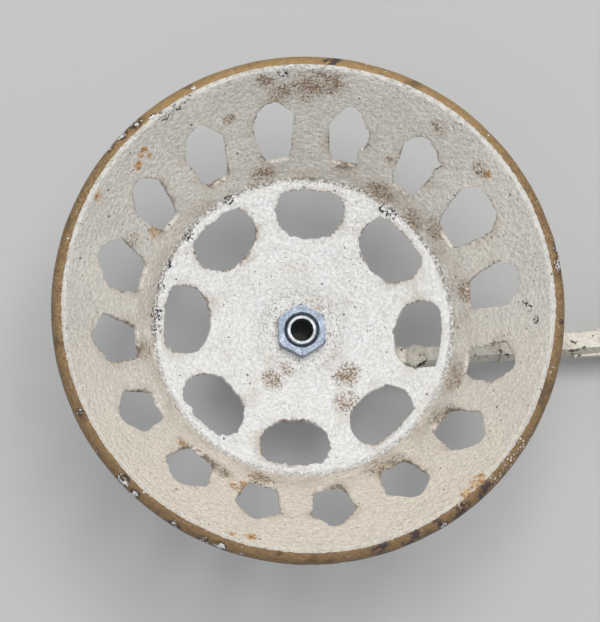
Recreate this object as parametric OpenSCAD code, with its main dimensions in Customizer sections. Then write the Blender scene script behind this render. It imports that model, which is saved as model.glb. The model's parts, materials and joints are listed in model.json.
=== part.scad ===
// Cup-shaped pottery wheel head on a ball-bearing spindle, carried by a folding side arm with a post clamp.
// Z is the spin axis. The origin is the centre of the spindle's top end. +X runs out along the arm.

/* [Wheel] */
// Outside diameter of the rim bead
rim_d = 300; // [292:1:312]
// Diameter of the wall's inside edge at the rim
mouth_d = 283; // [279:1:284]
// Depth from the mouth down to the hub seat
cup_depth = 124; // [116:1:130]
// Diameter of the crease between wall and floor
floor_d = 191; // [186:1:194]
// Height of the crease above the hub seat
floor_rise = 35; // [28:1:40]
// Thickness of the cast wall and floor
cup_wall = 3.6; // [3:0.2:5]
// Radius of the rim bead
bead_r = 8.6; // [8:0.2:9]

/* [Windows] */
// Windows cut around the wall
wall_windows = 16; // [8:1:16]
// Windows cut around the floor
floor_windows = 8; // [4:1:8]
// Turn of the first wall window, anticlockwise from +Y, in degrees
wall_phase = 8.4; // [-10:0.2:10]
// Turn of the first floor window, anticlockwise from +Y, in degrees
floor_phase = -3.4; // [-10:0.2:10]

/* [Spindle] */
// Thread and journal diameter of the spindle
spindle_d = 20; // [20:1:20]
// Through bore of the spindle
bore_d = 15; // [12:0.5:15]
// Overall length of the spindle
spindle_len = 70; // [70:0.5:71]
// Width across the flats of the wheel locknut
nut_af = 30; // [28:1:32]

/* [Arm] */
// Distance from the spin axis to the fold pivot
pivot_reach = 81.5; // [80:0.5:90]
// Bearing of the fold pivot from +X, in degrees
pivot_bearing = -6.8; // [-10:0.2:10]
// Direction of the swing arm from +X, in degrees
arm_bearing = 5.3; // [-10:0.1:10]
// Distance from the fold pivot to the post's axis
arm_reach = 205; // [190:5:260]
// Diameter of the post that the clamp grips
post_d = 34; // [30:0.5:36]

/* [Hidden] */
$fn = 96;

// Heights along the spin axis, from the top of the spindle down
nut_top = 0;
nut_h = 12;
seat_z = nut_top - nut_h;
hub_h = 5;
fibre_h = 1.5;
flange_top = seat_z - hub_h - fibre_h;
flange_h = 7;
race_top = flange_top - flange_h - 3.5;
race_h = 12;
spacer_h = 8;
lower_race_top = race_top - race_h - spacer_h;
stack_end = lower_race_top - race_h;
tab_h = 1;
ring_nut_h = 6;
housing_end = stack_end - 11;
bracket_h = 12;
mouth_z = seat_z + cup_depth;
crease_z = seat_z + floor_rise;

// The locknut's turn about the spindle, in degrees, and the depth of its countersunk thread entry
nut_turn = 93;
thread_entry = 2.2;

// Radii around the spin axis
spindle_r = spindle_d / 2;
mouth_r = mouth_d / 2;
floor_r = floor_d / 2;
rim_r = rim_d / 2;
flange_r = 28;
shoulder_r = 13;
hub_r = 30;
seat_r = 24;
race_outer_r = 21;
pitch_r = 15.5;
ball_r = 3.175;
housing_r = 27;
skirt_r = 43;
skirt_h = 8;
skirt_bolt_r = 35.5;
cover_h = 2.8;

// Wall direction, from the crease up to the mouth
wall_lean = atan2(mouth_z - crease_z, mouth_r - floor_r);
floor_lean = atan2(floor_rise, floor_r - seat_r);
wall_run = cup_wall / sin(wall_lean);
floor_drop = cup_wall / cos(floor_lean);

// Arm sections and heights
bracket_top = housing_end;
eye_r = 8.5;
bar_half = 7.5;
arm_gap = 1;
arm_base = bracket_top + arm_gap;
bar_h = 16;
bar_top = arm_base + bar_h;
tail = 20;
shoulder_x = 57.5;
tongue_len = 42;
tongue_w = 8;
tongue_h = 10;
outer_h = 19;
outer_base = arm_base - 1.5;
clamp_r = post_d / 2 + 9;
clamp_h = 42;
clamp_mid = outer_base + outer_h / 2;
clamp_slot = 2.5;
ear_x = 9;
ear_y = post_d / 2 + 15;
clamp_face = clamp_slot / 2 + ear_x;
clamp_washer_h = 1.6;
clamp_bolt_r = 4;
pivot_r = 4;
bush_r = 5.5;

// Sections of the ridged swing arm and of the outer arm, as [across, up], with the bevel on the -Y side
bar_section = [[5.4, 0], [5.4, bar_h], [-3.7, bar_h], [-6.8, bar_h - 9], [-6.8, 0]];
outer_section = [[7, 0], [7, outer_h - 1], [6, outer_h], [-4.8, outer_h], [-7.6, outer_h - 8], [-7.6, 0]];

// Each hand-cut wall window: its left shoulder, the two ends of its tip and its right shoulder, each as
// millimetres across (clockwise positive) and millimetres up the wall from the crease
window_shapes = [
    [[-16, 51], [-10, 67], [-1, 71], [10, 60]],
    [[-15, 50], [-9, 65], [-4, 71], [10, 52]],
    [[-15, 55], [-10, 67], [-3, 70], [11, 59]],
    [[-18, 56], [-12, 70], [8, 71], [14, 60]],
    [[-16, 54], [-8, 69], [4, 69], [12, 56]],
    [[-13, 53], [-1, 68], [4, 67], [13, 50]],
    [[-15, 53], [-2, 71], [4, 70], [14, 52]],
    [[-13, 56], [-4, 67], [2, 69], [15, 50]],
    [[-12, 52], [-1, 70], [5, 69], [15, 55]],
    [[-14, 54], [-1, 68], [4, 66], [14, 52]],
    [[-14, 52], [-3, 67], [4, 68], [16, 53]],
    [[-12, 53], [-3, 67], [4, 68], [16, 50]],
    [[-13, 54], [-3, 68], [3, 71], [17, 56]],
    [[-14, 53], [0, 72], [6, 70], [17, 55]],
    [[-13, 52], [-5, 68], [3, 70], [12, 54]],
    [[-15, 53], [-8, 69], [2, 72], [12, 55]]
];
foot_up = 17;
knee_up = 24;

function sill(shoulder, share, up) = [shoulder[0] * share, up];
function window_outline(s) = [
    sill(s[0], 0.5, foot_up), sill(s[0], 0.7, knee_up), s[0], s[1],
    s[2], s[3], sill(s[3], 0.7, knee_up), sill(s[3], 0.5, foot_up)
];

// A ring of square section between two radii and two heights
module ring(outer, inner, top, height) {
    translate([0, 0, top - height])
        difference() {
            cylinder(r = outer, h = height);
            translate([0, 0, -1])
                cylinder(r = inner, h = height + 2);
        }
}

// A hexagon prism with its top corners chamfered; top is the top face's radius against half the flats
module hex_body(af, height, top = 1.02) {
    intersection() {
        cylinder(r = af / 2 / cos(30), h = height, $fn = 6);
        cylinder(r1 = af / 2 + height * 1.6, r2 = af / 2 * top, h = height);
    }
}

module hex_nut(af, height, hole, top = 1.02) {
    difference() {
        hex_body(af, height, top);
        translate([0, 0, -1])
            cylinder(r = hole, h = height + 2);
    }
}

// Copies its children around the spin axis
module around(count, radius, first = 0) {
    for (k = [0 : count - 1])
        rotate([0, 0, first + k * 360 / count])
            translate([radius, 0, 0])
                children();
}

// Moves to the fold pivot, turned along the swing arm
module at_pivot() {
    rotate([0, 0, pivot_bearing])
        translate([pivot_reach, 0, 0])
            rotate([0, 0, arm_bearing - pivot_bearing])
                children();
}

module at_post() {
    at_pivot()
        translate([arm_reach, 0, 0])
            children();
}

// ---- Wheel ----

module cup_shell() {
    difference() {
        union() {
            rotate_extrude()
                polygon([
                    [0, mouth_z], [mouth_r, mouth_z], [mouth_r + wall_run, mouth_z - 4],
                    [floor_r + wall_run, crease_z - 3], [floor_r - 1, crease_z - 1 - floor_drop],
                    [hub_r + 3, seat_z + 4 - floor_drop], [hub_r, seat_z - hub_h], [0, seat_z - hub_h]
                ]);
            rotate_extrude()
                translate([rim_r - bead_r, mouth_z - bead_r - 0.6])
                    circle(r = bead_r);
        }
        rotate_extrude()
            polygon([
                [0, seat_z], [seat_r, seat_z], [floor_r - 1.4, crease_z - 1], [floor_r, crease_z],
                [mouth_r + 2 * cos(wall_lean), mouth_z + 2 * sin(wall_lean)], [0, mouth_z + 2]
            ]);
        translate([0, 0, seat_z - hub_h - 1])
            cylinder(r = spindle_r + 0.4, h = hub_h + 2);
    }
}

module wall_window(k) {
    rotate([0, 0, 90 + wall_phase - k * 360 / wall_windows])
        translate([floor_r, 0, crease_z])
            rotate([0, -wall_lean, 0])
                rotate([0, 0, -90])
                    translate([0, 0, -12])
                        linear_extrude(height = 24)
                            polygon(window_outline(window_shapes[k]));
}

module floor_window(k) {
    rotate([0, 0, 90 + floor_phase - k * 360 / floor_windows])
        translate([0, 0, seat_z - 8])
            linear_extrude(height = floor_rise + 20)
                intersection() {
                    translate([floor_r - 14.2, 0])
                        circle(r = 22.5);
                    translate([floor_r - 8 - 40, -30])
                        square([40, 60]);
                }
}

module wheel_cup() {
    color("antiquewhite")
        difference() {
            cup_shell();
            for (k = [0 : wall_windows - 1])
                wall_window(k);
            for (k = [0 : floor_windows - 1])
                floor_window(k);
        }
}

module wheel_locknut() {
    color("lightsteelblue")
        translate([0, 0, seat_z])
            rotate([0, 0, nut_turn])
                difference() {
                    hex_nut(nut_af, nut_h, spindle_r, 1.09);
                    translate([0, 0, nut_h - thread_entry])
                        cylinder(r1 = spindle_r, r2 = spindle_r + thread_entry * 0.75, h = thread_entry + 0.01);
                }
}

module fibre_washer() {
    color("saddlebrown")
        ring(flange_r, spindle_r, seat_z - hub_h, fibre_h);
}

module spindle() {
    color("silver")
        difference() {
            union() {
                translate([0, 0, -spindle_len])
                    cylinder(r = spindle_r, h = spindle_len - 1);
                translate([0, 0, -1])
                    cylinder(r1 = spindle_r, r2 = spindle_r - 0.8, h = 1);
                translate([0, 0, flange_top - flange_h])
                    cylinder(r = flange_r, h = flange_h);
                translate([0, 0, race_top])
                    cylinder(r = shoulder_r, h = flange_top - race_top);
            }
            translate([0, 0, -spindle_len - 1])
                cylinder(r = bore_d / 2, h = spindle_len + 2);
        }
}

// ---- Bearings: 20 x 42 x 12 deep-groove races ----

module inner_race(top) {
    rotate_extrude()
        difference() {
            translate([spindle_r, top - race_h])
                square([3.4, race_h]);
            translate([pitch_r, top - race_h / 2])
                circle(r = ball_r + 0.35);
        }
}

module outer_race(top) {
    rotate_extrude()
        difference() {
            translate([race_outer_r - 3.4, top - race_h])
                square([3.4, race_h]);
            translate([pitch_r, top - race_h / 2])
                circle(r = ball_r);
        }
}

module balls(top) {
    translate([0, 0, top - race_h / 2])
        around(9, pitch_r)
            sphere(r = ball_r - 0.02, $fn = 48);
}

module upper_inner_ring() {
    color("gainsboro")
        inner_race(race_top);
}

module lower_inner_ring() {
    color("gainsboro")
        inner_race(lower_race_top);
}

module upper_outer_ring() {
    color("darkgray")
        outer_race(race_top);
}

module lower_outer_ring() {
    color("darkgray")
        outer_race(lower_race_top);
}

module upper_bearing_balls() {
    color("white")
        balls(race_top);
}

module lower_bearing_balls() {
    color("white")
        balls(lower_race_top);
}

module bearing_spacer() {
    color("slategray")
        ring(spindle_r + 2.6, spindle_r, race_top - race_h, spacer_h);
}

module tab_washer() {
    color("gray")
        difference() {
            union() {
                ring(14, spindle_r, stack_end, tab_h);
                translate([0, 0, stack_end - tab_h])
                    around(5, 14, 36)
                        translate([-2, -1.5, 0])
                            cube([4, 3, tab_h]);
            }
            translate([0, 0, stack_end - 2])
                cylinder(r = spindle_r, h = 3);
        }
}

module spindle_ring_nut() {
    color("dimgray")
        difference() {
            ring(16, spindle_r, stack_end - tab_h, ring_nut_h);
            translate([0, 0, stack_end - tab_h - ring_nut_h - 1])
                around(4, 14.5)
                    translate([0, -2.5, 0])
                        cube([4, 5, ring_nut_h + 2]);
        }
}

// ---- Bearing head ----

module bearing_housing() {
    color("antiquewhite")
        difference() {
            union() {
                translate([0, 0, housing_end])
                    cylinder(r = housing_r, h = race_top - housing_end);
                translate([0, 0, housing_end])
                    cylinder(r = skirt_r, h = skirt_h);
            }
            translate([0, 0, race_top - race_h])
                cylinder(r = race_outer_r, h = race_h + 1);
            translate([0, 0, housing_end - 1])
                cylinder(r = 18, h = race_top - housing_end);
            translate([0, 0, housing_end - 1])
                cylinder(r = race_outer_r, h = lower_race_top - housing_end + 1);
            translate([0, 0, stack_end - 1.9])
                cylinder(r = 22.5, h = 1.8);
            translate([0, 0, housing_end - 1])
                around(4, skirt_bolt_r, 45)
                    cylinder(r = 4.2, h = skirt_h + 2);
            translate([0, 0, race_top - 9])
                around(3, 24, 30)
                    cylinder(r = 1.65, h = 10);
            translate([0, 0, race_top - race_h - spacer_h / 2])
                rotate([0, -90, 0])
                    cylinder(r = 2.6, h = housing_r + 5);
        }
}

module dust_cover() {
    color("antiquewhite")
        difference() {
            ring(housing_r, shoulder_r + 0.5, race_top + cover_h, cover_h);
            translate([0, 0, race_top - 1])
                around(3, 24, 30)
                    cylinder(r = 2.1, h = cover_h + 2);
            translate([0, 0, race_top + cover_h - 1.5])
                around(3, 24, 30)
                    cylinder(r1 = 2.1, r2 = 3.7, h = 1.6);
        }
}

module cover_screws() {
    color("silver")
        translate([0, 0, race_top])
            around(3, 24, 30) {
                translate([0, 0, -8])
                    cylinder(r = 1.6, h = 10);
                difference() {
                    translate([0, 0, cover_h - 1.5])
                        cylinder(r1 = 2, r2 = 3.4, h = 1.4);
                    translate([-3, -0.4, cover_h - 0.7])
                        cube([6, 0.8, 1]);
                }
            }
}

module bearing_circlip() {
    color("dimgray")
        difference() {
            ring(22.3, 18.8, stack_end - 0.2, 1.6);
            translate([14, -4, stack_end - 3])
                cube([10, 8, 4]);
        }
}

module grease_nipple() {
    color("goldenrod")
        translate([0, 0, race_top - race_h - spacer_h / 2])
            rotate([0, -90, 0])
                translate([0, 0, housing_r - 6]) {
                    cylinder(r = 2.5, h = 6.5);
                    translate([0, 0, 6])
                        cylinder(r = 4 / cos(30), h = 4, $fn = 6);
                    translate([0, 0, 9.9])
                        cylinder(r = 2, h = 3);
                    translate([0, 0, 14])
                        sphere(r = 2.6);
                }
}

module head_bracket() {
    color("antiquewhite")
        translate([0, 0, bracket_top - bracket_h])
            difference() {
                union() {
                    rotate([0, 0, 100])
                        cylinder(r = skirt_r, h = bracket_h);
                    rotate([0, 0, pivot_bearing]) {
                        translate([skirt_r - 6, -bar_half, 0])
                            cube([pivot_reach - skirt_r + 6, 2 * bar_half, bracket_h]);
                        translate([pivot_reach, 0, 0])
                            cylinder(r = eye_r, h = bracket_h);
                        translate([skirt_r - 6, -3, -8])
                            cube([pivot_reach - skirt_r - 8, 6, 8.1]);
                    }
                }
                translate([0, 0, -1])
                    cylinder(r = race_outer_r + 1, h = bracket_h + 2);
                translate([0, 0, -1])
                    around(4, skirt_bolt_r, 45)
                        cylinder(r = 4.2, h = bracket_h + 2);
                rotate([0, 0, pivot_bearing])
                    translate([pivot_reach, 0, -1])
                        cylinder(r = bush_r, h = bracket_h + 2);
            }
}

module housing_bolts() {
    color("lightsteelblue")
        around(4, skirt_bolt_r, 45) {
            translate([0, 0, bracket_top + skirt_h])
                hex_body(13, 5.3);
            translate([0, 0, bracket_top - bracket_h - 9])
                cylinder(r = 4, h = bracket_h + skirt_h + 9.1);
        }
}

module housing_nuts() {
    color("lightsteelblue")
        around(4, skirt_bolt_r, 45)
            translate([0, 0, bracket_top - bracket_h - 6.5])
                hex_nut(13, 6.5, 4);
}

module pivot_bushing() {
    color("darkgoldenrod")
        at_pivot()
            ring(bush_r, pivot_r + 0.05, bracket_top + arm_gap - 0.4, bracket_h + arm_gap - 0.4);
}

// ---- Arm: the rest of the object folds about this ----

// Lays a section along +X from one place to another
module along(section, from, to) {
    translate([from, 0, 0])
        rotate([90, 0, 90])
            linear_extrude(height = to - from)
                polygon(section);
}

module swing_arm() {
    color("antiquewhite")
        at_pivot()
            translate([0, 0, arm_base])
                difference() {
                    union() {
                        along(bar_section, -tail, shoulder_x);
                        cylinder(r = eye_r - 0.9, h = bar_h);
                        translate([shoulder_x - 1, -tongue_w / 2, 3])
                            cube([tongue_len + 1, tongue_w, tongue_h]);
                    }
                    translate([0, 0, -1])
                        cylinder(r = pivot_r + 0.02, h = bar_h + 2);
                    for (x = [shoulder_x + 14, shoulder_x + 30])
                        translate([x, 0, 0])
                            cylinder(r = 2.5, h = bar_h);
                }
}

module pivot_bolt() {
    color("antiquewhite")
        at_pivot() {
            translate([0, 0, bar_top])
                intersection() {
                    translate([0, 0, -4.4])
                        sphere(r = 9.2);
                    cylinder(r = 8, h = 6);
                }
            translate([0, 0, bracket_top - bracket_h - 14])
                cylinder(r = pivot_r, h = bracket_h + 14 + arm_gap + bar_h + 0.1);
        }
}

module pivot_washer() {
    color("silver")
        at_pivot()
            ring(8, pivot_r + 0.05, bracket_top - bracket_h - 0.4, 1.6);
}

module pivot_locknut() {
    color("lightsteelblue")
        at_pivot()
            translate([0, 0, bracket_top - bracket_h - 10])
                hex_nut(13, 8, pivot_r);
}

module outer_arm() {
    color("antiquewhite")
        difference() {
            union() {
                at_pivot()
                    translate([0, 0, outer_base]) {
                        along(outer_section, shoulder_x, arm_reach - post_d / 2 - 4);
                        translate([arm_reach - 95, 0, 0])
                            linear_extrude(height = outer_h - 10)
                                polygon([[0, 5], [0, 6.9], [35, 10], [70, 15], [70, -15], [40, -10], [0, -9.4]]);
                    }
                at_post()
                    translate([0, 0, clamp_mid - clamp_h / 2]) {
                        cylinder(r = clamp_r, h = clamp_h);
                        translate([-ear_x - clamp_slot / 2, -ear_y - 9, 0])
                            cube([ear_x, 2 * ear_y + 18, clamp_h]);
                    }
            }
            at_post() {
                translate([0, 0, clamp_mid - clamp_h])
                    cylinder(r = post_d / 2, h = 2 * clamp_h);
                translate([-clamp_slot / 2, -80, clamp_mid - clamp_h])
                    cube([80, 160, 2 * clamp_h]);
                clamp_bolt_holes();
            }
            at_pivot()
                translate([0, 0, arm_base]) {
                    translate([shoulder_x - 1, -tongue_w / 2 - 0.05, 2.95])
                        cube([tongue_len + 1.3, tongue_w + 0.1, tongue_h + 0.1]);
                    for (x = [shoulder_x + 14, shoulder_x + 30])
                        translate([x, 0, -5])
                            cylinder(r = 2.5, h = 40);
                }
        }
}

module arm_rivets() {
    color("antiquewhite")
        at_pivot()
            for (x = [shoulder_x + 14, shoulder_x + 30])
                translate([x, 0, outer_base]) {
                    cylinder(r = 2.5, h = outer_h);
                    translate([0, 0, outer_h])
                        intersection() {
                            translate([0, 0, -2])
                                sphere(r = 4.5);
                            cylinder(r = 4, h = 3);
                        }
                    translate([0, 0, -2])
                        cylinder(r = 4, h = 2);
                }
}

// ---- Post clamp ----

module clamp_bolt_holes() {
    for (y = [-ear_y, ear_y])
        for (z = [-11, 11])
            translate([-30, y, clamp_mid + z])
                rotate([0, 90, 0])
                    cylinder(r = clamp_bolt_r + 0.2, h = 60);
}

module clamp_cap() {
    color("antiquewhite")
        at_post()
            difference() {
                translate([0, 0, clamp_mid - clamp_h / 2]) {
                    cylinder(r = clamp_r, h = clamp_h);
                    translate([clamp_slot / 2, -ear_y - 9, 0])
                        cube([ear_x, 2 * ear_y + 18, clamp_h]);
                }
                translate([0, 0, clamp_mid - clamp_h])
                    cylinder(r = post_d / 2, h = 2 * clamp_h);
                translate([clamp_slot / 2 - 80, -80, clamp_mid - clamp_h])
                    cube([80, 160, 2 * clamp_h]);
                clamp_bolt_holes();
            }
}

// Repeats its children on the four clamp bolts, each axis turned to +X
module clamp_pattern() {
    at_post()
        for (y = [-ear_y, ear_y])
            for (z = [-11, 11])
                translate([0, y, clamp_mid + z])
                    rotate([0, 90, 0])
                        children();
}

module clamp_bolts() {
    color("lightsteelblue")
        clamp_pattern() {
            translate([0, 0, clamp_face + clamp_washer_h])
                hex_body(13, 5.3);
            translate([0, 0, -clamp_face - 12])
                cylinder(r = clamp_bolt_r, h = 2 * clamp_face + 12 + clamp_washer_h + 0.1);
        }
}

module clamp_washers() {
    color("silver")
        clamp_pattern() {
            ring(7.5, clamp_bolt_r, clamp_face + clamp_washer_h, clamp_washer_h);
            ring(7.5, clamp_bolt_r, -clamp_face, clamp_washer_h);
        }
}

module clamp_nuts() {
    color("lightsteelblue")
        clamp_pattern()
            translate([0, 0, -clamp_face - clamp_washer_h - 6.5])
                hex_nut(13, 6.5, clamp_bolt_r);
}

wheel_cup();
wheel_locknut();
fibre_washer();
spindle();
upper_inner_ring();
lower_inner_ring();
bearing_spacer();
tab_washer();
spindle_ring_nut();
bearing_housing();
upper_outer_ring();
lower_outer_ring();
upper_bearing_balls();
lower_bearing_balls();
dust_cover();
cover_screws();
bearing_circlip();
grease_nipple();
head_bracket();
housing_bolts();
housing_nuts();
pivot_bushing();
swing_arm();
pivot_bolt();
pivot_washer();
pivot_locknut();
outer_arm();
arm_rivets();
clamp_cap();
clamp_bolts();
clamp_washers();
clamp_nuts();
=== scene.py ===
"""Looks of the cup-shaped pottery wheel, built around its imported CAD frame. Named lengths are millimetres."""
import json
import math

import bmesh
import bpy
import numpy as np
from mathutils import Matrix, Vector, noise


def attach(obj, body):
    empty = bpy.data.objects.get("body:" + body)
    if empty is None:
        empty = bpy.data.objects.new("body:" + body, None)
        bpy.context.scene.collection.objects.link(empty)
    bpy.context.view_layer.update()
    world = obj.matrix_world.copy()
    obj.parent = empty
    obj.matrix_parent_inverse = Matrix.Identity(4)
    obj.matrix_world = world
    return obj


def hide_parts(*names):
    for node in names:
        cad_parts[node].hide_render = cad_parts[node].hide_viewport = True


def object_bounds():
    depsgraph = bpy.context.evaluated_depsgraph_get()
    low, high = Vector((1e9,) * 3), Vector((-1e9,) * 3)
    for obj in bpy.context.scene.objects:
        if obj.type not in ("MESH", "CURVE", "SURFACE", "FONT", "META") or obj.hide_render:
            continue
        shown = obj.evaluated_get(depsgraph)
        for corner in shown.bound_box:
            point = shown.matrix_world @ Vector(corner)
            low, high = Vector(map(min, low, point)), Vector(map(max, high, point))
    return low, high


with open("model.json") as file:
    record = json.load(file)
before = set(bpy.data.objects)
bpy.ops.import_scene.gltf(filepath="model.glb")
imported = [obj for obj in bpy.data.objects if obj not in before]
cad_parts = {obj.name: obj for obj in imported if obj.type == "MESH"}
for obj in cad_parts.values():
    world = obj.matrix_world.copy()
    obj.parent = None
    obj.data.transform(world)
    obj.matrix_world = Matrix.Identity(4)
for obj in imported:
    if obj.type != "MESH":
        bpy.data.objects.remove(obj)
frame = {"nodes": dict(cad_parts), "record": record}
cad_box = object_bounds()
MM = 0.001
TURN = 2 * math.pi

# ---- Driving sizes of the wheel, as in the CAD model ----
RIM_R = 150.0
MOUTH_R, MOUTH_Z = 141.5, 112.0
CREASE_R, CREASE_Z = 95.5, 23.0
SEAT_R, SEAT_Z = 24.0, -12.0
HUB_HOLE_R = 10.4
HUB_R = 30.0
BEAD_R = 8.6
WALL, HUB_WALL = 3.6, 5.0
WALL_PHASE, FLOOR_PHASE = 8.4, -3.4


# ---- Camera, light and floor ----

FLOOR_GAP = 4.0
FLOOR_REACH = 6.0  # metres
FLOOR_GREY = (0.50, 0.50, 0.495, 1)
SKY_COLOUR = (0.93, 0.955, 1.0, 1)
BACKDROP_GREY = (0.60, 0.60, 0.60, 1)


def make_camera():
    """The camera looks down into the cup, nearly along the spin axis, from a little towards -Y."""
    distance, lens, sensor = 900.0, 90.3, 36.0
    tilt, lean = math.radians(-8.85), math.radians(2.32)
    side, rise = 5.8, 5.1
    data = bpy.data.cameras.new("camera")
    data.lens = lens
    data.sensor_width = sensor
    data.clip_start = 0.05
    camera = bpy.data.objects.new("camera", data)
    bpy.context.scene.collection.objects.link(camera)
    turn = (Matrix.Rotation(tilt, 3, "X") @ Matrix.Rotation(lean, 3, "Y")).transposed()
    mouth = Vector((0, 0, MOUTH_Z))
    place = (mouth + turn @ Vector((-side, -rise, distance))) * MM
    camera.matrix_world = Matrix.Translation(place) @ turn.to_4x4()
    bpy.context.scene.camera = camera


def area_light(name, place, size, power, colour, aim=(0, 0, 0.05)):
    """A soft square lamp. Its place, size and aim are in metres, and its power in watts."""
    data = bpy.data.lights.new(name, "AREA")
    data.size = size
    data.energy = power
    data.color = colour
    lamp = bpy.data.objects.new(name, data)
    lamp.location = place
    lamp.rotation_euler = (Vector(aim) - Vector(place)).to_track_quat("-Z", "Y").to_euler()
    bpy.context.scene.collection.objects.link(lamp)


def make_stage():
    """A plain pale floor just under the object, two soft lamps and the sky."""
    low = cad_box[0][2] - FLOOR_GAP * MM
    reach = FLOOR_REACH
    mesh = bpy.data.meshes.new("studio_floor")
    corners = [(-reach, -reach, low), (reach, -reach, low), (reach, reach, low), (-reach, reach, low)]
    mesh.from_pydata(corners, [], [(0, 1, 2, 3)])
    floor = bpy.data.objects.new("studio_floor", mesh)
    bpy.context.scene.collection.objects.link(floor)
    skin = Finish("studio_floor")
    skin.set("Base Color", FLOOR_GREY)
    skin.set("Roughness", 0.85)
    skin.hide_back()
    mesh.materials.append(skin.material)
    make_sky()
    area_light("key", (0.14, 0.38, 2.0), 0.9, 27, (1.0, 0.985, 0.955))
    area_light("fill", (-0.6, -0.6, 1.7), 1.2, 3, (0.95, 0.97, 1.0))
    bpy.context.scene.view_settings.view_transform = "Standard"


def make_sky():
    """Soft light from overhead that fades out towards the horizon, and a plain grey backdrop."""
    world = bpy.data.worlds.new("studio")
    world.use_nodes = True
    tree = world.node_tree
    where = tree.nodes.new("ShaderNodeTexCoord")
    split = tree.nodes.new("ShaderNodeSeparateXYZ")
    ramp = tree.nodes.new("ShaderNodeMapRange")
    ramp.interpolation_type = "SMOOTHSTEP"
    for name, value in (("From Min", 0.0), ("From Max", 0.8), ("To Min", 0.05), ("To Max", 0.66)):
        ramp.inputs[name].default_value = value
    sky = tree.nodes["Background"]
    sky.inputs["Color"].default_value = SKY_COLOUR
    tree.links.new(where.outputs["Generated"], split.inputs[0])
    tree.links.new(split.outputs["Z"], ramp.inputs["Value"])
    tree.links.new(ramp.outputs[0], sky.inputs["Strength"])
    backdrop = tree.nodes.new("ShaderNodeBackground")
    backdrop.inputs["Color"].default_value = BACKDROP_GREY
    seen = tree.nodes.new("ShaderNodeLightPath")
    both = tree.nodes.new("ShaderNodeMixShader")
    tree.links.new(seen.outputs["Is Camera Ray"], both.inputs[0])
    tree.links.new(sky.outputs[0], both.inputs[1])
    tree.links.new(backdrop.outputs[0], both.inputs[2])
    tree.links.new(both.outputs[0], tree.nodes["World Output"].inputs["Surface"])
    bpy.context.scene.world = world


# ---- Materials ----

# What each vertex of the cup carries: its distance in millimetres along the upper side from the hub hole, its
# distance in millimetres from the nearest window's cut, and how far it is through the wall, from 0 to 1
FACTS = ("run", "edge", "under")


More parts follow.
